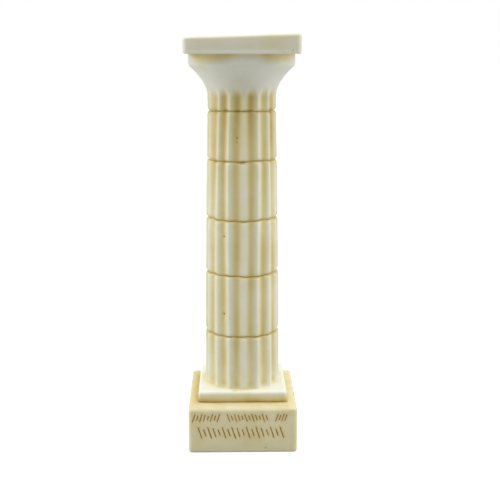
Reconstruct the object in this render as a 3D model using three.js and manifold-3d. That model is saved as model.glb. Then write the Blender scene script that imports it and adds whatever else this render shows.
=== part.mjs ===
// Small souvenir column in the Doric order, cast in stone-filled resin.
// Millimetres, +Z up, the face of the base with the rows of strokes towards -Y.
// The origin is the middle of the base block's underside.
import * as THREE from 'three';
import Module from 'manifold-3d';
import { mergeVertices } from 'three/addons/utils/BufferGeometryUtils.js';

// Base block, cast on its own and glued under the column.
const baseWidth = 44;
const baseDepth = 48.2;
const baseHeight = 18.8;
const baseCornerRadius = 1.5;
const baseTopEdge = 1.2;
const baseLowerEdge = 0.9;

// Column: where its axis stands on the base, and the square foot slab.
const axisSetback = 1.5;
const slabWidth = 36.3;
const slabHeight = 4.5;
const slabCornerRadius = 1.4;
const slabTopEdge = 1.2;
const slabLowerEdge = 0.35;

// Shaft: five drums from the foot up, then the neck under the capital. One
// flute, whose middle is frontFluteAngle degrees from the front, is wider than
// the rest. A fluteBreadth below 1 makes them broad between narrow arrises.
const drumHeights = [21.9, 25.3, 22.6, 23.6, 19.6];
const footRadius = 15.6;
const neckRadius = 13.75;
const entasis = 0.3;
const fluteCount = 16;
const fluteDepth = 0.8;
const fluteBreadth = 0.62;
const frontFluteAngle = -10.4;
const frontFluteWidth = 25.8;
const footFlare = 0.3;
const footFlareHeight = 1.5;
const jointWidth = 2.4;
const jointDepth = 1.4;

// Capital: plain neck, trumpet-shaped echinus, upright band and abacus.
const neckHeight = 6.2;
const echinusHeight = 11.1;
const echinusRadius = 20.9;
const echinusPower = 1.75;
const bandHeight = 4.7;
const bandRadius = 21.3;
const bandShoulder = 1;
const fluteTipHeight = 3.6;
const abacusWidth = 44.8;
const abacusHeight = 6.8;
const abacusRise = 1.37;
const abacusCornerRadius = 1.4;
const abacusTopEdge = 1.1;
const abacusLowerEdge = 0.6;

// Rows of slanted strokes cut in the front of the base.
const strokeWidth = 0.6;
const strokeDepth = 0.3;
const strokeTilt = 18;
const strokeLengths = [1, 0.62, 1, 0.78, 0.5];
const upperRow = { height: 3.1, pitch: 1.42, drop: 3.9, margin: 2.2, gap: 4.1, spans: [9.9, 15.4, 3.6] };
const lowerRow = { height: 4.7, pitch: 1.98, drop: 10.2, margin: 4.6, gap: 0, spans: [33.1] };

// Fineness of the mesh, and how far joined pieces run into each other.
const stepsPerFlute = 6;
const cornerSteps = 4;
const edgeSteps = 3;
const echinusSteps = 8;
const overlap = 1;

const wasm = await Module();
wasm.setup();

const mix = (from, to, share) => from + (to - from) * share;
const smooth = (share) => {
  const t = THREE.MathUtils.clamp(share, 0, 1);
  return t * t * (3 - 2 * t);
};

// Closed body from level rings of equal point count, each anticlockwise from
// above. The first and the last ring are filled with a flat fan.
function stackRings(rings) {
  const count = rings[0].length;
  const points = rings.flat();
  const triangles = [];
  for (let level = 0; level + 1 < rings.length; level += 1) {
    for (let k = 0; k < count; k += 1) {
      const a = level * count + k;
      const b = level * count + ((k + 1) % count);
      triangles.push(a, b, b + count, a, b + count, a + count);
    }
  }
  const centreOf = (ring) => ring
    .reduce((sum, point) => sum.add(point), new THREE.Vector3())
    .divideScalar(count);
  const bottom = points.push(centreOf(rings[0])) - 1;
  const top = points.push(centreOf(rings[rings.length - 1])) - 1;
  const lastRing = (rings.length - 1) * count;
  for (let k = 0; k < count; k += 1) {
    const next = (k + 1) % count;
    triangles.push(bottom, next, k);
    triangles.push(top, lastRing + k, lastRing + next);
  }
  const geometry = new THREE.BufferGeometry().setFromPoints(points);
  geometry.setIndex(triangles);
  return geometry;
}

// Outline of a rectangle with round corners, drawn in from its full size.
function roundedRing(width, depth, cornerRadius, inset, z, slope) {
  const ring = [];
  for (let corner = 0; corner < 4; corner += 1) {
    const signX = corner === 0 || corner === 3 ? 1 : -1;
    const signY = corner < 2 ? 1 : -1;
    for (let step = 0; step <= cornerSteps; step += 1) {
      const angle = (corner + step / cornerSteps) * Math.PI / 2;
      const radius = cornerRadius - inset;
      const x = signX * (width / 2 - cornerRadius) + radius * Math.cos(angle);
      const y = signY * (depth / 2 - cornerRadius) + radius * Math.sin(angle);
      ring.push(new THREE.Vector3(x, y, z + slope * x));
    }
  }
  return ring;
}

// Plate standing on z = 0 with rounded edges. Its top may rise towards +X.
function plate({ width, depth, height, cornerRadius, lowerEdge, topEdge, rise = 0 }) {
  const rings = [];
  for (let step = 0; step <= edgeSteps; step += 1) {
    const angle = (step / edgeSteps) * Math.PI / 2;
    const inset = lowerEdge * (1 - Math.sin(angle));
    const z = lowerEdge * (1 - Math.cos(angle));
    rings.push(roundedRing(width, depth, cornerRadius, inset, z, 0));
  }
  for (let step = 0; step <= edgeSteps; step += 1) {
    const angle = (step / edgeSteps) * Math.PI / 2;
    const inset = topEdge * (1 - Math.cos(angle));
    const z = height - topEdge * (1 - Math.sin(angle));
    rings.push(roundedRing(width, depth, cornerRadius, inset, z, rise / width));
  }
  return stackRings(rings);
}

function toSolid(geometry) {
  const bare = geometry.clone();
  bare.deleteAttribute('normal');
  bare.deleteAttribute('uv');
  const merged = mergeVertices(bare);
  return new wasm.Manifold(new wasm.Mesh({
    numProp: 3,
    vertProperties: new Float32Array(merged.attributes.position.array),
    triVerts: new Uint32Array(merged.index.array),
  }));
}

function toGeometry(solid) {
  const mesh = solid.getMesh();
  const geometry = new THREE.BufferGeometry();
  geometry.setAttribute('position', new THREE.BufferAttribute(mesh.vertProperties, 3));
  geometry.setIndex(new THREE.BufferAttribute(mesh.triVerts, 1));
  geometry.computeVertexNormals();
  return geometry;
}

// Heights in the column's own frame, where z = 0 is the slab's underside.
const jointHeights = [];
let drumTop = slabHeight;
for (const drumHeight of drumHeights) {
  drumTop += drumHeight;
  jointHeights.push(drumTop);
}
const echinusFoot = drumTop + neckHeight;
const bandFoot = echinusFoot + echinusHeight;
const abacusFoot = bandFoot + bandHeight;

// Arris radius of the shaft: a taper with a slight swelling.
function shaftRadius(z) {
  const share = (z - slabHeight) / (echinusFoot - slabHeight);
  return mix(footRadius, neckRadius, share) + entasis * 4 * share * (1 - share);
}

// One ring of the fluted body: flute is the share of the full flute depth,
// and groove is how far the ring has sunk into the round bottom of a joint.
function flutedRing(z, radius, flute, groove) {
  const ring = [];
  const restWidth = (360 - frontFluteWidth) / (fluteCount - 1);
  const firstArris = frontFluteAngle - frontFluteWidth / 2 - 90;
  for (let k = 0; k < fluteCount * stepsPerFlute; k += 1) {
    const flutes = k / stepsPerFlute;
    const turn = 2 * Math.PI * flutes;
    const hollow = ((1 - Math.cos(turn)) / 2) ** fluteBreadth;
    const cut = fluteDepth * flute * hollow;
    const r = mix(radius - cut, radius - jointDepth, groove);
    const widths = frontFluteWidth * Math.min(flutes, 1) + restWidth * Math.max(flutes - 1, 0);
    const angle = THREE.MathUtils.degToRad(firstArris + widths);
    ring.push(new THREE.Vector3(r * Math.cos(angle), r * Math.sin(angle), z));
  }
  return ring;
}

// Shaft, neck, echinus and band as one fluted body of rings.
function shaftBody() {
  const flareRadius = footRadius + footFlare;
  const rings = [
    flutedRing(slabHeight - overlap, flareRadius, 0.6, 0),
    flutedRing(slabHeight, flareRadius, 0.6, 0),
    flutedRing(slabHeight + footFlareHeight / 3, mix(flareRadius, footRadius, 0.7), 0.8, 0),
    flutedRing(slabHeight + footFlareHeight, shaftRadius(slabHeight + footFlareHeight), 1, 0),
  ];
  const jointProfile = [[-0.5, 0], [-0.22, 0.22], [0, 1], [0.22, 0.22], [0.5, 0]];
  for (const jointHeight of jointHeights) {
    for (const [offset, groove] of jointProfile) {
      const z = jointHeight + offset * jointWidth;
      rings.push(flutedRing(z, shaftRadius(z), 1, groove));
    }
  }
  for (let step = 0; step <= echinusSteps; step += 1) {
    const share = step / echinusSteps;
    const z = echinusFoot + share * echinusHeight;
    const radius = mix(neckRadius, echinusRadius, share ** echinusPower);
    const flute = 1 - smooth((z - echinusFoot) / fluteTipHeight);
    rings.push(flutedRing(z, radius, flute, 0));
  }
  rings.push(flutedRing(bandFoot + bandShoulder, bandRadius, 0, 0));
  rings.push(flutedRing(abacusFoot + overlap, bandRadius, 0, 0));
  return stackRings(rings);
}

// Foot slab, shaft and capital are one casting.
function columnGeometry() {
  const slab = plate({
    width: slabWidth,
    depth: slabWidth,
    height: slabHeight,
    cornerRadius: slabCornerRadius,
    lowerEdge: slabLowerEdge,
    topEdge: slabTopEdge,
  });
  const abacus = plate({
    width: abacusWidth,
    depth: abacusWidth,
    height: abacusHeight,
    cornerRadius: abacusCornerRadius,
    lowerEdge: abacusLowerEdge,
    topEdge: abacusTopEdge,
    rise: abacusRise,
  });
  abacus.translate(0, 0, abacusFoot);
  return toGeometry(toSolid(slab).add(toSolid(shaftBody())).add(toSolid(abacus)));
}

// One straight cut in the base's front face, leaning in the face's plane.
function strokeCut(x, z, length, tilt) {
  const reach = 2 * strokeDepth;
  const cut = new THREE.BoxGeometry(strokeWidth, reach, length);
  cut.rotateY(THREE.MathUtils.degToRad(tilt));
  cut.translate(x, -baseDepth / 2, z);
  return toSolid(cut);
}

// All strokes of the rows, each row set out from the block's left edge and
// from its top. The lean changes sides from one span to the next.
function strokeCuts() {
  const cuts = [];
  let lean = strokeTilt;
  for (const row of [upperRow, lowerRow]) {
    let start = row.margin - baseWidth / 2;
    for (const span of row.spans) {
      const count = Math.round(span / row.pitch);
      for (let k = 0; k <= count; k += 1) {
        const length = row.height * strokeLengths[k % strokeLengths.length];
        const x = start + (span * k) / count;
        cuts.push(strokeCut(x, baseHeight - row.drop, length, lean));
      }
      start += span + row.gap;
      lean = -lean;
    }
  }
  return cuts;
}

// Base block with its strokes cut out.
function baseGeometry() {
  let block = toSolid(plate({
    width: baseWidth,
    depth: baseDepth,
    height: baseHeight,
    cornerRadius: baseCornerRadius,
    lowerEdge: baseLowerEdge,
    topEdge: baseTopEdge,
  }));
  for (const cut of strokeCuts()) {
    block = block.subtract(cut);
  }
  return toGeometry(block);
}

const baseResin = new THREE.MeshStandardMaterial({
  name: 'cream stone resin',
  color: 0xe8deb6,
  roughness: 0.6,
  metalness: 0,
});
const columnResin = new THREE.MeshStandardMaterial({
  name: 'ivory stone resin',
  color: 0xe9e4d2,
  roughness: 0.5,
  metalness: 0,
});

const baseBlock = new THREE.Mesh(baseGeometry(), baseResin);
baseBlock.name = 'base_block';

const column = new THREE.Mesh(columnGeometry(), columnResin);
column.name = 'column';
column.position.set(0, axisSetback, baseHeight);

const souvenir = new THREE.Group();
souvenir.add(baseBlock, column);

export default souvenir;
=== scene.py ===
import math

import bpy
import numpy as np
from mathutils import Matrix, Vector, noise


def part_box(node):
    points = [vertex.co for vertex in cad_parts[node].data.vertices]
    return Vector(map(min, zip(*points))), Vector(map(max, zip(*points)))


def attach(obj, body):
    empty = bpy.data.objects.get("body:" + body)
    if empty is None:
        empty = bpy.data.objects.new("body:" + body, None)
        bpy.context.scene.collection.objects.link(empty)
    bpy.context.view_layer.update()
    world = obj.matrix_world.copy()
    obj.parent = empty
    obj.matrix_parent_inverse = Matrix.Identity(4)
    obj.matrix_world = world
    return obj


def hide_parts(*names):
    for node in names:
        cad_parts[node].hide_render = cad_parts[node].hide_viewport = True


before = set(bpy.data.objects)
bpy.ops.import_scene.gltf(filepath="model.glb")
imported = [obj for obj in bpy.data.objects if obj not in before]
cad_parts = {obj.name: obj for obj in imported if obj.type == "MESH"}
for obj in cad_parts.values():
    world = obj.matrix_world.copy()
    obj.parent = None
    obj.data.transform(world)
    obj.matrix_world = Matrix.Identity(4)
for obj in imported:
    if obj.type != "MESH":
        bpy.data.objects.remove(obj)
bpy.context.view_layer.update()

# Base block. A separate small casting in marble-filled polyester resin, creamier and
# grainier than the column, with softened edges. Slanted strokes are cut in its front, and
# the brown wash that was brushed on and wiped off has stayed in them.
MM = 0.001
block_low, block_high = (np.array(corner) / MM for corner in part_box("base_block"))
block_size = block_high - block_low
block_half = block_size / 2
BLOCK_CORNER = 1.5
BLOCK_TOP_EDGE = 1.2
BLOCK_FOOT_EDGE = 0.9


def deselect_everything():
    for item in list(bpy.context.selected_objects):
        item.select_set(False)


def edit_only(piece):
    deselect_everything()
    piece.select_set(True)
    bpy.context.view_layer.objects.active = piece
    bpy.ops.object.mode_set(mode="EDIT")


def read_points(piece):
    """The piece's vertices, in millimetres."""
    flat = np.empty(len(piece.data.vertices) * 3)
    piece.data.vertices.foreach_get("co", flat)
    return flat.reshape(-1, 3) / MM


def write_points(piece, points):
    piece.data.vertices.foreach_set("co", (points * MM).ravel())
    piece.data.update()


def write_layer(piece, name, values):
    """Keep a value from 0 to 1 at each vertex, for the piece's material to read."""
    layer = piece.data.attributes.new(name, "FLOAT", "POINT")
    layer.data.foreach_set("value", np.clip(values, 0, 1))


def ripple(points, size, seed):
    """Smooth unevenness from -1 to 1, with bumps about size millimetres across."""
    shift = Vector((seed * 7.3, seed * 3.1, seed * 5.7))
    return np.array([noise.noise(Vector(point) / size + shift) for point in points])


def cut_edges_along(piece, axis, cuts):
    """Subdivide every edge of a boxy piece that runs along one axis."""
    edit_only(piece)
    bpy.ops.mesh.select_mode(type="EDGE")
    bpy.ops.mesh.select_all(action="DESELECT")
    bpy.ops.object.mode_set(mode="OBJECT")
    mesh = piece.data
    for edge in mesh.edges:
        start, end = (mesh.vertices[index].co for index in edge.vertices)
        along = (end - start).normalized()
        edge.select = abs(along[axis]) > 0.99
    bpy.ops.object.mode_set(mode="EDIT")
    bpy.ops.mesh.subdivide(number_cuts=cuts, smoothness=0)
    bpy.ops.object.mode_set(mode="OBJECT")


deselect_everything()
bpy.ops.mesh.primitive_cube_add(
    size=1,
    location=(block_low + block_half) * MM,
    scale=block_size * MM,
)
block = bpy.context.object
block.name = "base_block_cast"
bpy.ops.object.transform_apply(location=True, rotation=True, scale=True)
CUTS_ACROSS, CUTS_DEEP, CUTS_UP = 99, 60, 90
cut_edges_along(block, 0, CUTS_ACROSS)
cut_edges_along(block, 2, CUTS_UP)
cut_edges_along(block, 1, CUTS_DEEP)
cut_edges_along(block, 0, 1)

# The rows of vertices are gathered at the front and the back, where the edges are rounded.
points = read_points(block)
share_y = points[:, 1] / block_half[1]
points[:, 1] = block_half[1] * (1.3 * share_y - 0.3 * share_y ** 3)


def round_block(points):
    """Round a box of vertices: upright corners, top edges and foot edges."""
    half = block_half[:2]
    height = block_size[2]
    inset = np.maximum(np.min(half - np.abs(points[:, :2]), axis=1), 0)
    z = points[:, 2].copy()
    for radius, drop, sign in (
        (BLOCK_TOP_EDGE, height - z, -1),
        (BLOCK_FOOT_EDGE, z.copy(), 1),
    ):
        near = (inset < radius) & (drop < radius)
        across = radius - inset[near]
        down = radius - drop[near]
        longest = np.maximum(across, down)
        length = np.hypot(across, down)
        inset[near] = radius - across * longest / length
        new_drop = radius - down * longest / length
        z[near] = new_drop if sign > 0 else height - new_drop
    inner = np.clip(points[:, :2], BLOCK_CORNER - half, half - BLOCK_CORNER)
    outward = points[:, :2] - inner
    length = np.linalg.norm(outward, axis=1)
    outer = length > 1e-6
    unit = outward[outer] / length[outer, None]
    reach = np.maximum(BLOCK_CORNER - inset[outer], 0)
    rounded = points.copy()
    rounded[outer, :2] = inner[outer] + unit * reach[:, None]
    rounded[:, 2] = z
    return rounded


points = round_block(points)

STROKE_WIDTH = 0.6
STROKE_DEPTH = 0.3
STROKE_TILT = math.radians(18)
STROKE_LENGTHS = (1, 0.62, 1, 0.78, 0.5)
UPPER_ROW = {"height": 3.1, "pitch": 1.42, "drop": 3.9, "margin": 2.2, "gap": 4.1,
             "spans": (9.9, 15.4, 3.6)}
LOWER_ROW = {"height": 4.7, "pitch": 1.98, "drop": 10.2, "margin": 4.6, "gap": 0,
             "spans": (33.1,)}


def stroke_places():
    """Middle, half length and lean of each stroke, as in the rows of the solid."""
    lean = STROKE_TILT
    for row in (UPPER_ROW, LOWER_ROW):
        start = row["margin"] - block_half[0]
        for span in row["spans"]:
            count = round(span / row["pitch"])
            for k in range(count + 1):
                length = row["height"] * STROKE_LENGTHS[k % len(STROKE_LENGTHS)]
                yield start + span * k / count, block_size[2] - row["drop"], length / 2, lean
            start += span + row["gap"]
            lean = -lean


front = points[:, 1] < -block_half[1] + 0.02
stroke_wash = np.zeros(len(points))
stroke_halo = np.zeros(len(points))
for middle_x, middle_z, half_length, lean in stroke_places():
    across = points[:, 0] - middle_x
    up = points[:, 2] - middle_z
    along = across * math.sin(lean) + up * math.cos(lean)
    beside = across * math.cos(lean) - up * math.sin(lean)
    beyond = np.maximum(np.abs(along) - half_length, 0)
    distance = np.hypot(beside, beyond)
    depth = np.clip(1.25 - distance / (STROKE_WIDTH / 2), 0, 1)
    stroke_wash = np.maximum(stroke_wash, np.where(front, depth, 0))
    stroke_halo = np.maximum(stroke_halo, np.where(front, np.exp(-distance / 0.7), 0))
points[:, 1] += STROKE_DEPTH * stroke_wash

# Small marks on the block: a nick in the right top edge and two pits low on the front.
EDGE_NICK = (22.1, -6.6, 18.4)
EDGE_NICK_RADII = (0.6, 3.2, 0.5)
FOOT_PITS = ((9.1, 2.0, 0.4), (19.6, 1.7, 0.2))
PIT_RADIUS = 0.5
nick = np.linalg.norm((points - EDGE_NICK) / EDGE_NICK_RADII, axis=1)
nick_wash = np.clip(1.3 - nick, 0, 1)
points -= 0.25 * nick_wash[:, None] * np.array((1, 0, 1))
pit_wash = np.zeros(len(points))
for pit_x, pit_z, strength in FOOT_PITS:
    pit_distance = np.linalg.norm(points - (pit_x, -block_half[1], pit_z), axis=1)
    pit_wash = np.maximum(pit_wash, strength * np.clip(1.3 - pit_distance / PIT_RADIUS, 0, 1))
points[:, 1] += 0.4 * pit_wash

# The faces of the cast are very slightly wavy, but never stand outside the CAD block.
WAVINESS = 0.08
wave = 0.5 + 0.5 * ripple(points, 9, 1)
middle = np.array((0, 0, block_half[2]))
inward = middle - points
inward[:, 2] *= np.where(points[:, 2] > block_half[2], 0.15, 0)
inward /= np.linalg.norm(inward, axis=1)[:, None]
points += WAVINESS * wave[:, None] * inward
write_points(block, points)

# Wash on the block: in the strokes, and around the foot of the column's slab, where it is
# dark in the seam and fades outwards. There is more of it at the left than at the right.
column_low, column_high = (np.array(corner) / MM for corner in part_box("column"))
AXIS_Y = (column_low[1] + column_high[1]) / 2
SLAB_HALF = 18.15
GUTTER_WIDTH = 2.3
SEAM_WIDTH = 0.4
top_side = points[:, 2] > block_size[2] - 0.6
past_slab = np.abs(points[:, :2] - (0, AXIS_Y)) - SLAB_HALF
slab_gap = np.maximum(np.max(past_slab, axis=1), 0)
streak = 0.5 + 0.5 * ripple(points, 3.5, 2)
to_left = np.clip((-points[:, 0] - SLAB_HALF + 0.5) / 1.5, 0, 1)
to_right = np.clip((points[:, 0] - SLAB_HALF + 0.5) / 1.5, 0, 1)
gutter = np.exp(-slab_gap / GUTTER_WIDTH) * top_side
gutter = gutter * (0.39 + 0.17 * to_left - 0.25 * to_right)
gutter_seam = np.exp(-slab_gap / SEAM_WIDTH) * top_side
wash = np.where(top_side, 0.05 - 0.03 * to_right, 0) + 0.26 * stroke_halo
wash = wash + gutter * (0.7 + 0.6 * streak)
wash = np.maximum(wash, 1.05 * stroke_wash * (0.75 + 0.3 * streak))
wash = np.maximum(wash, 0.6 * gutter_seam)
wash = np.maximum(wash, 1.1 * nick_wash)
wash = np.maximum(wash, pit_wash)
write_layer(block, "wash", wash)

# The block's top is a little greyer than its sides, though less so at the right.
TOP_GREY = 0.75
near_top = np.clip((points[:, 2] - block_size[2] + 0.7) / 0.5, 0, 1)
write_layer(block, "grey", TOP_GREY * near_top * (1 - 0.6 * to_right))


def linear(hex_colour):
    """An sRGB hex colour as the linear colour that a shader socket takes."""
    parts = [int(hex_colour[i:i + 2], 16) / 255 for i in (1, 3, 5)]
    return [p / 12.92 if p <= 0.04045 else ((p + 0.055) / 1.055) ** 2.4 for p in parts] + [1]


def add_node(tree, kind, settings=None, links=None):
    """Add a node, set its properties and sockets, and link other sockets into it."""
    node = tree.nodes.new(kind)
    for name, value in (settings or {}).items():
        if isinstance(name, int) or name in node.inputs:
            node.inputs[name].default_value = value
        else:
            setattr(node, name, value)
    for name, source in (links or {}).items():
        tree.links.new(source, node.inputs[name])
    return node


def colour_ramp(tree, source, stops):
    """A ramp from the source value through (place, hex colour) stops."""
    ramp = add_node(tree, "ShaderNodeValToRGB", links={"Fac": source})
    elements = ramp.color_ramp.elements
    while len(elements) < len(stops):
        elements.new(0.5)
    for element, (place, hex_colour) in zip(elements, stops):
        element.position = place
        element.color = linear(hex_colour)
    return ramp


def washed_resin(name, wash_stops, mottle_hex, mottle_size, grain_size, grain_lift, roughness):
    """Cast marble-filled resin with a brushed and wiped wash.

    The stone powder makes it pale, faintly translucent and only softly glossy. Sizes are
    in metres: the width of the cloudy mottling and of the grain. The "grey" attribute says
    how much greyer and darker it is painted there; on the column that is painted shade.
    """
    material = bpy.data.materials.new(name)
    material.use_nodes = True
    tree = material.node_tree
    tree.nodes.clear()
    place = add_node(tree, "ShaderNodeTexCoord").outputs["Object"]
    kept = add_node(tree, "ShaderNodeAttribute", {"attribute_name": "wash"}).outputs["Fac"]
    cloud = add_node(
        tree, "ShaderNodeTexNoise",
        {"Scale": 1 / mottle_size, "Detail": 4, "Roughness": 0.6},
        {"Vector": place},
    ).outputs["Fac"]
    grain = add_node(
        tree, "ShaderNodeTexNoise",
        {"Scale": 1 / grain_size, "Detail": 3, "Roughness": 0.7},
        {"Vector": place},
    ).outputs["Fac"]
    # The wiped wash is patchy: the grain holds a little more or a little less of it.
    patchy = add_node(
        tree, "ShaderNodeMath", {"operation": "MULTIPLY_ADD", 1: 0.16, 2: -0.08}, {0: grain},
    ).outputs[0]
    cloudy = add_node(
        tree, "ShaderNodeMath", {"operation": "MULTIPLY_ADD", 1: 0.2, 2: -0.1}, {0: cloud},
    ).outputs[0]
    uneven = add_node(
        tree, "ShaderNodeMath", {"operation": "ADD"}, {0: patchy, 1: cloudy},
    ).outputs[0]
    held = add_node(
        tree, "ShaderNodeMath", {"operation": "ADD", "use_clamp": True}, {0: kept, 1: uneven},
    ).outputs[0]
    washed = colour_ramp(tree, held, wash_stops).outputs["Color"]
    # The resin itself is unevenly mixed, so the cloud tints it faintly too.
    tint = add_node(
        tree, "ShaderNodeMapRange",
        {"From Min": 0.4, "From Max": 0.75, "To Min": 0, "To Max": 0.5},
        {"Value": cloud},
    ).outputs["Result"]
    body = add_node(
        tree, "ShaderNodeMix",
        {"data_type": "RGBA", "blend_type": "MULTIPLY", 7: linear(mottle_hex)},
        {0: tint, 6: washed},
    ).outputs[2]
    greyer = add_node(tree, "ShaderNodeAttribute", {"attribute_name": "grey"}).outputs["Fac"]
    toned = add_node(
        tree, "ShaderNodeMix",
        {"data_type": "RGBA", "blend_type": "MULTIPLY", 7: linear("#e9eaec")},
        {0: greyer, 6: body},
    ).outputs[2]
    lift = add_node(
        tree, "ShaderNodeBump",
        {"Strength": 0.5, "Distance": grain_lift},
        {"Height": grain},
    ).outputs["Normal"]
    surface = add_node(
        tree, "ShaderNodeBsdfPrincipled",
        {
            "Roughness": roughness,
            "IOR": 1.5,
            "Subsurface Weight": 0.15,
            "Subsurface Radius": (1, 0.95, 0.75),
            "Subsurface Scale": 0.0012,
        },
        {"Base Color": toned, "Normal": lift},
    )
    add_node(
        tree, "ShaderNodeOutputMaterial", links={"Surface": surface.outputs["BSDF"]},
    )
    return material


# Yellowish marble-filled polyester, cast in a rubber mould that was not polished, so it is
# matt and sandy: the 0.5 mm grain is what shows from a step away.
cream_resin = washed_resin(
    "cast_cream_resin",
    [(0.0, "#e6dfba"), (0.3, "#dfcd92"), (0.65, "#b99a56"), (1.0, "#7b5d29")],
    mottle_hex="#f3ebcc",
    mottle_size=8 * MM,
    grain_size=0.5 * MM,
    grain_lift=0.08 * MM,
    roughness=0.62,
)
block.data.materials.clear()
block.data.materials.append(cream_resin)
for face in block.data.polygons:
    face.use_smooth = True
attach(block, "root")
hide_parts("base_block")

# Column. Foot slab, fluted shaft, echinus and abacus in one casting of ivory resin. The
# master was turned and then carved by hand, so the flutes wander a little and the drum
# joints waver. An ochre wash lies in the flutes, the joints and the corners.
SLAB_FOOT = column_low[2]
SLAB_HEIGHT = 4.5
SLAB_CORNER = 1.4
SLAB_TOP_EDGE = 1.2
SLAB_FOOT_EDGE = 0.35
DRUM_HEIGHTS = (21.9, 25.3, 22.6, 23.6, 19.6)
FOOT_RADIUS = 15.6
NECK_RADIUS = 13.75
ENTASIS = 0.3
FLUTES = 16
FLUTE_DEPTH = 0.8
FRONT_FLUTE_ANGLE = -10.4
FRONT_FLUTE_WIDTH = 25.8
FOOT_FLARE = 0.3
FOOT_FLARE_HEIGHT = 1.4
JOINT_DEPTH = 1.3
SHOULDER_ABOVE = 1.6
SHOULDER_BELOW = 1.6
LIP_ROWS_BELOW = (1, 0.78, 0.58, 0.41, 0.27, 0.16, 0.07, 0)
LIP_ROWS_ABOVE = (0.05, 0.12, 0.21, 0.32, 0.45, 0.61, 0.8)
SLIT_DEPTH = 0.12
SLIT_WIDTH = 0.24
NECK_HEIGHT = 6.2
ECHINUS_HEIGHT = 11.1
ECHINUS_RADIUS = 20.9
ECHINUS_POWER = 1.75
BAND_HEIGHT = 4.7
BAND_RADIUS = 21.3
BAND_SHOULDER = 1.0
ABACUS_HALF = 22.4
ABACUS_HEIGHT = 6.8
ABACUS_RISE = 1.37
ABACUS_CORNER = 2.0
ABACUS_TOP_EDGE = 1.1
ABACUS_FOOT_EDGE = 0.6

# Small marks, each as degrees round from the front, height and size in millimetres: air
# holes of the casting, then a chip in a drum joint, 2.7 times as wide as it is high, then
# shallow dents in the echinus.
AIR_HOLES = ((-8.4, 126.07, 0.6), (-8.4, 124.3, 0.3), (-31, 86.7, 0.62),
             (-30.7, 54.7, 0.7), (-30.7, 52.9, 0.3), (74.2, 25.1, 0.5))
JOINT_CHIP = (-0.5, 116.2, 0.65, 2.7)
ECHINUS_DENTS = ((-5.5, 150.6, 1.3), (-10.5, 149.2, 1.0), (-4, 148.6, 0.8))
HOLE_DEPTH = 0.3
CHIP_DEPTH = 0.4
DENT_DEPTH = 0.24

SLAB_TOP = SLAB_FOOT + SLAB_HEIGHT
JOINTS = [SLAB_TOP + sum(DRUM_HEIGHTS[:k + 1]) for k in range(len(DRUM_HEIGHTS))]
ECHINUS_FOOT = JOINTS[-1] + NECK_HEIGHT
BAND_FOOT = ECHINUS_FOOT + ECHINUS_HEIGHT
ABACUS_FOOT = BAND_FOOT + BAND_HEIGHT


def shaft_radius(z):
    """Arris radius of the shaft: a taper with a slight swelling."""
    share = (z - SLAB_TOP) / (ECHINUS_FOOT - SLAB_TOP)
    taper = FOOT_RADIUS + (NECK_RADIUS - FOOT_RADIUS) * share
    return taper + ENTASIS * 4 * share * (1 - share)


def spaced(start, end, count):
    """Evenly spaced values from start up to, but without, end."""
    return [start + (end - start) * k / count for k in range(count)]


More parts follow.
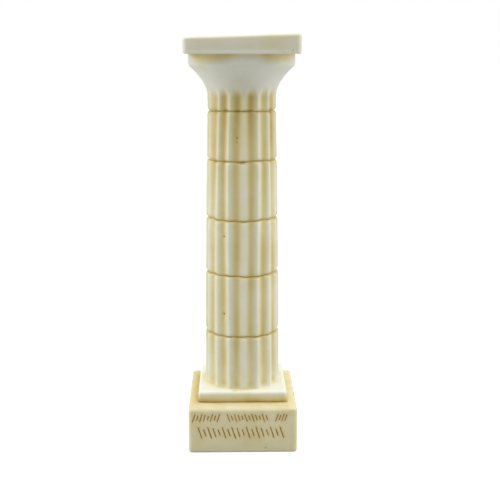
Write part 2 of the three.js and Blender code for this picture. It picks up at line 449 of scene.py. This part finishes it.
def turned_profile():
    """Half section of the column, as (reach, height, squareness) from foot to top."""
    profile = [(reach, SLAB_FOOT, 1) for reach in (0, 6, 12, 16)]
    slab_reach = SLAB_HALF
    for angle in spaced(0, math.pi / 2, 3):
        profile.append((
            slab_reach - SLAB_FOOT_EDGE * (1 - math.sin(angle)),
            SLAB_FOOT + SLAB_FOOT_EDGE * (1 - math.cos(angle)),
            1,
        ))
    for z in spaced(SLAB_FOOT + SLAB_FOOT_EDGE, SLAB_TOP - SLAB_TOP_EDGE, 9):
        profile.append((slab_reach, z, 1))
    for angle in spaced(0, math.pi / 2, 6):
        profile.append((
            slab_reach - SLAB_TOP_EDGE * (1 - math.cos(angle)),
            SLAB_TOP - SLAB_TOP_EDGE * (1 - math.sin(angle)),
            1,
        ))
    flat_start = slab_reach - SLAB_TOP_EDGE
    flare_reach = FOOT_RADIUS + FOOT_FLARE
    for share in spaced(0, 1, 7):
        profile.append((flat_start + (flare_reach - flat_start) * share, SLAB_TOP, 1 - share))
    flare_top = SLAB_TOP + FOOT_FLARE_HEIGHT
    flare = flare_reach - shaft_radius(flare_top)
    for share in spaced(0, 1, 8):
        reach = shaft_radius(flare_top) + flare * (1 - share) ** 2
        profile.append((reach, SLAB_TOP + FOOT_FLARE_HEIGHT * share, 0))
    start = flare_top
    for joint in JOINTS:
        end = joint - SHOULDER_BELOW
        rows = spaced(start, end, 13)
        for _, hole_z, size in AIR_HOLES:
            if start < hole_z < end:
                rows += [hole_z + size * share for share in (-1, -0.5, 0, 0.5, 1)]
        rows += [joint - SHOULDER_BELOW * share for share in LIP_ROWS_BELOW]
        rows += [joint + SHOULDER_ABOVE * share for share in LIP_ROWS_ABOVE]
        for z in sorted(rows):
            profile.append((shaft_radius(z), z, 0))
        start = joint + SHOULDER_ABOVE
    for z in spaced(start, ECHINUS_FOOT, 9):
        profile.append((shaft_radius(z), z, 0))
    for share in spaced(0, 1, 26):
        reach = NECK_RADIUS + (ECHINUS_RADIUS - NECK_RADIUS) * share ** ECHINUS_POWER
        profile.append((reach, ECHINUS_FOOT + ECHINUS_HEIGHT * share, 0))
    for share in spaced(0, 1, 4):
        reach = ECHINUS_RADIUS + (BAND_RADIUS - ECHINUS_RADIUS) * math.sin(share * math.pi / 2)
        profile.append((reach, BAND_FOOT + BAND_SHOULDER * share, 0))
    for z in spaced(BAND_FOOT + BAND_SHOULDER, ABACUS_FOOT, 9):
        profile.append((BAND_RADIUS, z, 0))
    plane_end = ABACUS_HALF - ABACUS_FOOT_EDGE
    for share in spaced(0, 1, 6):
        profile.append((BAND_RADIUS + (plane_end - BAND_RADIUS) * share, ABACUS_FOOT, share))
    for angle in spaced(0, math.pi / 2, 3):
        profile.append((
            ABACUS_HALF - ABACUS_FOOT_EDGE * (1 - math.sin(angle)),
            ABACUS_FOOT + ABACUS_FOOT_EDGE * (1 - math.cos(angle)),
            1,
        ))
    abacus_top = ABACUS_FOOT + ABACUS_HEIGHT
    for z in spaced(ABACUS_FOOT + ABACUS_FOOT_EDGE, abacus_top - ABACUS_TOP_EDGE, 9):
        profile.append((ABACUS_HALF, z, 1))
    for angle in spaced(0, math.pi / 2, 6):
        profile.append((
            ABACUS_HALF - ABACUS_TOP_EDGE * (1 - math.cos(angle)),
            abacus_top - ABACUS_TOP_EDGE * (1 - math.sin(angle)),
            1,
        ))
    for reach in (ABACUS_HALF - ABACUS_TOP_EDGE, 18, 14, 9, 4, 0):
        profile.append((reach, abacus_top, 1))
    return profile


# The half section is drawn by extruding one vertex along it, and spun round the axis.
profile = turned_profile()
SPIN_STEPS = 288
deselect_everything()
first_reach, first_z, _ = profile[0]
bpy.ops.mesh.primitive_plane_add(size=1 * MM, location=(first_reach * MM, 0, first_z * MM))
column = bpy.context.object
column.name = "column_cast"
bpy.ops.object.transform_apply(location=True, rotation=True, scale=True)
edit_only(column)
bpy.ops.mesh.select_mode(type="VERT")
bpy.ops.mesh.select_all(action="SELECT")
bpy.ops.mesh.merge(type="CENTER")
for (reach, z, _), (next_reach, next_z, _) in zip(profile, profile[1:]):
    step = ((next_reach - reach) * MM, 0, (next_z - z) * MM)
    bpy.ops.mesh.extrude_region_move(TRANSFORM_OT_translate={"value": step})
bpy.ops.object.mode_set(mode="OBJECT")
station_layer = column.data.attributes.new("station", "FLOAT", "POINT")
station_layer.data.foreach_set("value", np.arange(len(profile), dtype=float))
bpy.ops.object.mode_set(mode="EDIT")
bpy.ops.mesh.select_all(action="SELECT")
bpy.ops.mesh.spin(steps=SPIN_STEPS, angle=2 * math.pi, center=(0, 0, 0), axis=(0, 0, 1))
bpy.ops.mesh.select_all(action="SELECT")
bpy.ops.mesh.remove_doubles(threshold=0.0001 * MM)
bpy.ops.mesh.normals_make_consistent(inside=False)
bpy.ops.object.mode_set(mode="OBJECT")

turned = read_points(column)
station = np.empty(len(turned))
column.data.attributes["station"].data.foreach_get("value", station)
station = np.round(station).astype(int)
column.data.attributes.remove(column.data.attributes["station"])
section = np.array(profile)
reach, level, squareness = section[station].T
angle = np.arctan2(turned[:, 1], turned[:, 0])


def square_direction(angle, corner_share):
    """Point of a unit square with round corners for each turn angle.

    The turn is spent unevenly, so that each rounded corner gets its own steps.
    """
    quarter = np.mod(angle + math.pi / 4, math.pi / 2) - math.pi / 4
    side = np.round((angle - quarter) / (math.pi / 2)).astype(int) % 4
    share = np.abs(quarter) / (math.pi / 4)
    bend = 0.83
    straight = (1 - corner_share) * np.minimum(share / bend, 1)
    arc = np.maximum(share - bend, 0) / (1 - bend) * math.pi / 4
    out = 1 - corner_share + corner_share * np.cos(arc)
    along = straight + corner_share * np.sin(arc)
    along = along * np.sign(quarter)
    turn = side * math.pi / 2
    x = out * np.cos(turn) - along * np.sin(turn)
    y = out * np.sin(turn) + along * np.cos(turn)
    return np.stack((x, y), axis=1)


def smooth(share):
    share = np.clip(share, 0, 1)
    return share * share * (3 - 2 * share)


# Each vertex's place among the flutes, counted from the middle of the wide flute at the
# front: whole in the middle of a flute, and half-way between two numbers on an arris.
front_degrees = np.degrees(angle) + 90
front_degrees = np.where(front_degrees > 180, front_degrees - 360, front_degrees)
turned_from_front_flute = np.mod(front_degrees - FRONT_FLUTE_ANGLE + 180, 360) - 180
rest_width = (360 - FRONT_FLUTE_WIDTH) / (FLUTES - 1)
past_front_flute = np.abs(turned_from_front_flute) - FRONT_FLUTE_WIDTH / 2
flute_number = np.where(
    past_front_flute < 0,
    turned_from_front_flute / FRONT_FLUTE_WIDTH,
    np.sign(turned_from_front_flute) * (0.5 + past_front_flute / rest_width),
)

# The arrises wander up the shaft by a degree or two: how far each of the front five is off
# its even place at each of these heights.
WANDER_HEIGHTS = (30, 58, 89, 112, 128, 140)
ARRIS_WANDER = {
    -1.5: (2.6, 2.0, 2.0, 3.2, 4.2, 5.2),
    -0.5: (3.0, 2.4, 1.2, 0.4, 2.0, 3.6),
    0.5: (-1.1, -0.7, 1.0, -0.3, 0, 0.6),
    1.5: (-1.2, -2.0, -0.3, 1.7, 1.2, 2.2),
    2.5: (0.6, -0.6, 0.9, 2.0, 1.6, 2.6),
}
wander = 0.8 * np.sin(0.9 * flute_number + level / 17) * smooth(np.abs(flute_number) / 2 - 1.2)
for arris, shifts in ARRIS_WANDER.items():
    nearness = np.clip(1 - np.abs(flute_number - arris), 0, 1)
    wander = wander + nearness * np.interp(level, WANDER_HEIGHTS, shifts)
from_arris = (1 + np.cos(2 * math.pi * (flute_number - wander / rest_width))) / 2

# The flutes are broad between narrow arrises. They run down to the slab, and close in round
# tips on the neck above.
neck_share = (level - ECHINUS_FOOT + 1.6 - 0.6 * np.cos(angle + 1.4)) / 5
tip = 0.7 * np.clip(neck_share, 0, 1) ** 1.3
hollow = np.clip((from_arris - tip) / (1 - 0.75 * tip), 0, 1) ** 0.62
hollow = hollow * (1 - smooth(neck_share))
on_shaft = (level > SLAB_TOP + 0.01) | ((level > SLAB_TOP - 0.01) & (squareness < 0.01))
hollow = np.where(on_shaft & (level < BAND_FOOT), hollow, 0)

# The drum joints: both drums' edges are rounded over, into a narrow slit that wavers.
lip = np.zeros(len(turned))
slit = np.zeros(len(turned))
waver = np.zeros(len(turned))
for k, joint in enumerate(JOINTS):
    above = level >= joint
    off = np.abs(level - joint)
    share = off / np.where(above, SHOULDER_ABOVE, SHOULDER_BELOW)
    curve = 1 - np.sqrt(1 - (1 - np.clip(share, 0, 1)) ** 2)
    lip = np.maximum(lip, curve)
    slit = np.maximum(slit, np.exp(-(off / SLIT_WIDTH) ** 2))
    sway = 0.14 * np.sin(3 * angle + 1.7 * k)
    sway = sway + 0.08 * np.sin(7 * angle + k) + 0.07 * np.sin(16 * angle + 2.5 * k)
    waver += sway * smooth(1 - off / 3.5)

radius = reach - FLUTE_DEPTH * hollow * (1 - 0.45 * lip)
radius = radius - JOINT_DEPTH * lip * (1 - 0.35 * hollow) - SLIT_DEPTH * slit


def mark_at(degrees, z, size, breadth=1):
    """1 in the middle of a mark on the column, falling to 0 at its edge."""
    across = np.radians(front_degrees - degrees) * reach / breadth
    return np.clip(1.25 - np.hypot(across, level - z) / size, 0, 1)


marks = np.zeros(len(turned))
for hole in AIR_HOLES:
    marks = np.maximum(marks, mark_at(*hole))
radius = radius - HOLE_DEPTH * marks
chip = np.clip(2 * mark_at(*JOINT_CHIP), 0, 1)
radius = radius - CHIP_DEPTH * chip
for dent in ECHINUS_DENTS:
    radius = radius - DENT_DEPTH * mark_at(*dent)

round_xy = np.stack((radius * np.cos(angle), radius * np.sin(angle)), axis=1)
is_abacus = level >= ABACUS_FOOT - 0.01
plate_half = np.where(is_abacus, ABACUS_HALF, SLAB_HALF)
corner = np.where(is_abacus, ABACUS_CORNER, SLAB_CORNER)
drawn_in = np.where(squareness > 0.99, plate_half - reach, 0)
corner_share = np.clip((corner - drawn_in) / np.maximum(reach, 0.01), 0.01, 0.3)
square_xy = square_direction(angle, corner_share) * reach[:, None]
xy = round_xy + (square_xy - round_xy) * squareness[:, None]
rise = ABACUS_RISE / (2 * ABACUS_HALF) * xy[:, 0]
lift = np.where(is_abacus, smooth((level - ABACUS_FOOT) / ABACUS_HEIGHT), 0)
z = level + waver + rise * lift
points = np.column_stack((xy[:, 0], xy[:, 1] + AXIS_Y, z))

# The slab's top has a small chip near its front edge.
SLAB_CHIP = (-3.3, -15.3, 23.4)
SLAB_CHIP_RADII = (1.5, 0.6, 0.6)
from_chip = np.linalg.norm((points - SLAB_CHIP) / SLAB_CHIP_RADII, axis=1)
slab_chip = np.clip(1.2 - from_chip, 0, 1)
points += 0.2 * slab_chip[:, None] * np.array((0, 1, -1))
write_points(column, points)

# Wash on the column: a thin film on the shaft, fading out up the echinus, and more in the
# flutes. Towards the neck there is more of it, partly the neck's yellower film and partly
# painted shade under the abacus. Towards the shaft's left and right edges the film thins,
# a painted highlight for the light that rims its sides. The flutes are wiped cleaner a
# little above the slab, and clean at the foot.
streak = ripple(points * (1, 1, 0.3), 5, 3)
patch = ripple(points, 9, 4)
# Partly painted shade: the wash grows towards the neck, where the abacus shades the shaft; the
# rest is the neck's yellower film.
near_neck = smooth((level - 92) / 45)
round_part = on_shaft & (squareness < 0.5) & (level < ECHINUS_FOOT)
# Painted highlight: the film thins towards the left and right edges of the shaft.
rim_lit = smooth(np.abs(front_degrees) / 30 - 2)
film = np.where(round_part, 0.05 + 0.1 * near_neck + 0.03 * patch, 0)
film = film * (1 - 0.9 * rim_lit)
above_neck = level >= ECHINUS_FOOT
film = film + np.where(above_neck, 0.15 * smooth((ECHINUS_FOOT + 7 - level) / 8), 0)
flute_wash = hollow ** (1.6 - 0.5 * near_neck) * (0.44 + 0.03 * near_neck + 0.14 * streak)
flute_wash = flute_wash * (1 - 0.5 * smooth(neck_share))
foot_share = smooth((SLAB_TOP + 16 - level) / 12) - smooth((SLAB_TOP + 5 - level) / 4)
flute_wash = flute_wash * (1 - 0.32 * foot_share)
flute_wash = flute_wash * (1 - 0.8 * smooth((SLAB_TOP + 2 - level) / 2))
wash = film + flute_wash

# Darker patches on the shaft, each as degrees round from the front, height, half width in
# degrees, half height in millimetres and strength.
POOLS = ((13, 131, 6, 6, 0.1), (-9, 128, 6, 9, 0.09), (13, 140.5, 7, 4, 0.04),
         (-10, 140, 7, 4, 0.06), (62, 127, 9, 11, 0.2), (-10, 88, 6, 34, 0.08),
         (40, 28, 8, 6, 0.12), (-53, 30, 9, 7, 0.12), (62, 68, 7, 12, 0.08))
for degrees, pool_z, half_turn, half_height, strength in POOLS:
    away = ((front_degrees - degrees) / half_turn) ** 2 + ((level - pool_z) / half_height) ** 2
    wash = wash + strength * np.exp(-away) * (0.6 + 0.4 * streak)

# The joints: a soft stain on the drums' lips, broader towards the sides, a broken dark line
# in the slit, and the wash that has caught in the small marks.
broken = 0.54 + 0.3 * ripple(points * (1, 1, 0.2), 4, 5)
joint_off = np.min([np.abs(level - joint) for joint in JOINTS], axis=0)
stain_width = 0.65 + 0.5 * smooth(np.abs(front_degrees) / 60 - 0.4)
joint_stain = 0.5 * np.exp(-(joint_off / stain_width) ** 2)
joint_stain = np.where(round_part, joint_stain, 0)
wash = np.maximum(wash, joint_stain) + 0.3 * np.minimum(wash, joint_stain)
wash = np.maximum(wash, slit * broken)
wash = np.maximum(wash, marks)
wash = np.maximum(wash, 0.62 * chip)

# Under each side of the abacus the wash has pooled to both sides of the middle, and fades
# downwards. It reaches deepest to the left of each middle: each entry gives the degrees
# from the middle, the half width in degrees and the extra depth in millimetres.
POOL_DEPTHS = ((-38, 20, 1.7), (33, 9, 1.0))
quarter_degrees = np.mod(front_degrees + 45, 90) - 45
pool_depth = 1.8 + 0.2 * patch
for degrees, spread, depth in POOL_DEPTHS:
    off = np.mod(quarter_degrees - degrees + 45, 90) - 45
    pool_depth = pool_depth + depth * np.exp(-(off / spread) ** 2)
pool_depth = pool_depth * (1 - 0.4 * smooth(np.abs(front_degrees) / 40 - 1.1))
pool = np.exp(-((ABACUS_FOOT - level) / pool_depth) ** 2)
pool = pool * smooth((level - BAND_FOOT) / 2 + 0.2)
pool_strength = 0.22 + 0.29 * smooth((np.abs(quarter_degrees - 4) - 2) / 26)
pool_strength = pool_strength - 0.16 * smooth(front_degrees / 14 - 1.4)
on_band = (level > BAND_FOOT - 2) & (level < ABACUS_FOOT + 0.2) & (squareness < 0.9)
wash = wash + np.where(on_band, pool * pool_strength * (1 + 0.25 * streak), 0)

# The abacus: a film that is thinner towards the left and right and leaves the lower edge
# bare. The bare lower edge is a painted highlight, for the light thrown up from the floor.
above_foot = level - ABACUS_FOOT
to_side = smooth(np.abs(points[:, 0]) / 18 - 0.3)
abacus_film = 0.14 - 0.07 * to_side + 0.04 * patch + 0.03 * smooth(above_foot / 4 - 0.5)
# Painted highlight: no film or grey tint on the lowest half millimetre of the abacus, fading
# in above.
past_lit_edge = smooth((above_foot - 0.5) / 1.5)
wash = wash + np.where(is_abacus, abacus_film * past_lit_edge, 0)

# The slab: a stain that fades upwards on its sides, a dark broken foot line, and a soft
# ring round the shaft.
on_slab = level < SLAB_TOP + 0.01
up_slab = (level - SLAB_FOOT) / (SLAB_HEIGHT - 0.4)
side_stain = 0.7 * np.clip(1 - up_slab, 0, 1) ** 1.2 * (1 + 0.5 * patch)
wash = wash + np.where(on_slab & (squareness > 0.99), side_stain, 0)
foot_line = (level < SLAB_FOOT + SLAB_FOOT_EDGE + 0.05) & (squareness > 0.99)
foot_broken = 0.48 + 0.36 * ripple(points, 4, 6)
wash = np.where(foot_line, np.maximum(wash, foot_broken), wash)
from_shaft = np.hypot(xy[:, 0], xy[:, 1]) - FOOT_RADIUS - FOOT_FLARE
ring = np.exp(-(np.maximum(from_shaft, 0) / 1.5) ** 2) * smooth(1 - (level - SLAB_TOP) / 1.6)
ring = np.where(level > SLAB_TOP - SLAB_TOP_EDGE, ring, 0)
wash = wash + (0.2 + 0.08 * np.abs(np.cos(angle))) * ring * (0.8 + 0.6 * patch)
wash = np.maximum(wash, 0.65 * slab_chip)

# A speck of wash low on the abacus's front, near its right corner.
SPECK = (19.1, AXIS_Y - ABACUS_HALF, 159.3)
SPECK_RADII = (0.5, 1, 0.4)
from_speck = np.linalg.norm((points - SPECK) / SPECK_RADII, axis=1)
wash = np.maximum(wash, 0.7 * np.clip(1.2 - from_speck, 0, 1))
write_layer(column, "wash", wash)

# Painted shade: the echinus and the lower half of the abacus are tinted greyer and darker
# than the shaft, for the dimmer light that reaches the capital from the front and above.
CAPITAL_SHADE = 0.5
grey = smooth((level - ECHINUS_FOOT + 2.5) / 8) * CAPITAL_SHADE
# Painted shade on the abacus: thinner towards the left and right, and kept off its lower edge.
abacus_shade = CAPITAL_SHADE * past_lit_edge * (1 - 0.5 * to_side)
abacus_shade = abacus_shade * (1 - 0.8 * smooth((above_foot - 2.5) / 3))
write_layer(column, "grey", np.where(is_abacus, abacus_shade, grey))

# Ivory marble-filled polyester from a smoother mould, wiped cleaner than the block: a satin
# skin with a grain near 0.3 mm, drawn a little coarser so that it shows.
ivory_resin = washed_resin(
    "cast_ivory_resin",
    [(0.0, "#eaebdf"), (0.3, "#e0d7a9"), (0.6, "#cdba78"), (0.82, "#a89147"),
     (1.0, "#6f5b28")],
    mottle_hex="#f6f3e4",
    mottle_size=14 * MM,
    grain_size=0.4 * MM,
    grain_lift=0.03 * MM,
    roughness=0.5,
)
column.data.materials.clear()
column.data.materials.append(ivory_resin)
for face in column.data.polygons:
    face.use_smooth = True
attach(column, "root")
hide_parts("column")

# Floor. A white sweep of seamless paper, so brightly lit that it runs out into the
# background. It glows a little for the camera, and throws back less than it shows.
deselect_everything()
bpy.ops.mesh.primitive_circle_add(vertices=96, radius=3, fill_type="NGON", location=(0, 0, 0))
floor = bpy.context.object
floor.name = "paper_sweep"
paper = bpy.data.materials.new("white_paper")
paper.use_nodes = True
sheet = paper.node_tree.nodes["Principled BSDF"]
sheet.inputs["Base Color"].default_value = linear("#b2b2b0")
sheet.inputs["Roughness"].default_value = 0.9
sheet.inputs["Emission Color"].default_value = linear("#ffffff")
seen = add_node(paper.node_tree, "ShaderNodeLightPath").outputs["Is Camera Ray"]
glow = add_node(
    paper.node_tree, "ShaderNodeMath", {"operation": "MULTIPLY", 1: 0.7}, {0: seen},
).outputs[0]
paper.node_tree.links.new(glow, sheet.inputs["Emission Strength"])
floor.data.materials.append(paper)

# Light. A white tent with a dim front: broad light from straight above, soft boxes at both
# sides and a little fill from all around. The background itself shows as plain white.
world = bpy.context.scene.world or bpy.data.worlds.new("studio")
bpy.context.scene.world = world
world.use_nodes = True
sky = world.node_tree.nodes["Background"]
sky.inputs["Color"].default_value = linear("#ffffff")
FILL = 0.38
TOP_LIGHT = 2.5
SIDE_BOXES = ((-1, 1.85), (1, 1.7))
seen = add_node(world.node_tree, "ShaderNodeLightPath").outputs["Is Camera Ray"]
strength = add_node(
    world.node_tree, "ShaderNodeMath",
    {"operation": "MULTIPLY_ADD", 1: 1 - FILL, 2: FILL}, {0: seen},
).outputs[0]
world.node_tree.links.new(strength, sky.inputs["Strength"])


def add_light(name, kind, place, target, settings):
    """A lamp at place, in metres, facing the target point."""
    lamp = bpy.data.lights.new(name, kind)
    for setting, value in settings.items():
        setattr(lamp, setting, value)
    holder = bpy.data.objects.new(name, lamp)
    holder.location = place
    aim = Vector(target) - Vector(place)
    holder.rotation_euler = aim.to_track_quat("-Z", "Y").to_euler()
    bpy.context.collection.objects.link(holder)


add_light(
    "top_light", "SUN", (0, 0, 1), (0, 0, 0),
    {"energy": TOP_LIGHT, "angle": math.radians(80)},
)
for side, energy in SIDE_BOXES:
    add_light(
        "side_soft_box", "AREA", (side * 0.6, 0.05, 0.25), (0, 0, 0.08),
        {"shape": "SQUARE", "size": 0.5, "energy": energy},
    )

# Camera, fitted to the block's corners, the joints' curves and the outline.
PHOTO_SIZE = 500
FOCAL_PIXELS = 925.8
camera_data = bpy.data.cameras.new("camera")
camera_data.sensor_width = 36
camera_data.lens = FOCAL_PIXELS / PHOTO_SIZE * camera_data.sensor_width
camera = bpy.data.objects.new("camera", camera_data)
CAMERA_PLACE = (-4.03, -374.66, 157.56)
LOOK_DOWN = 11.85
TURN = -1.12
camera.location = Vector(CAMERA_PLACE) * MM
camera.rotation_euler = (math.radians(90 - LOOK_DOWN), 0, math.radians(TURN))
bpy.context.collection.objects.link(camera)
bpy.context.scene.camera = camera
bpy.context.scene.view_settings.view_transform = "Standard"
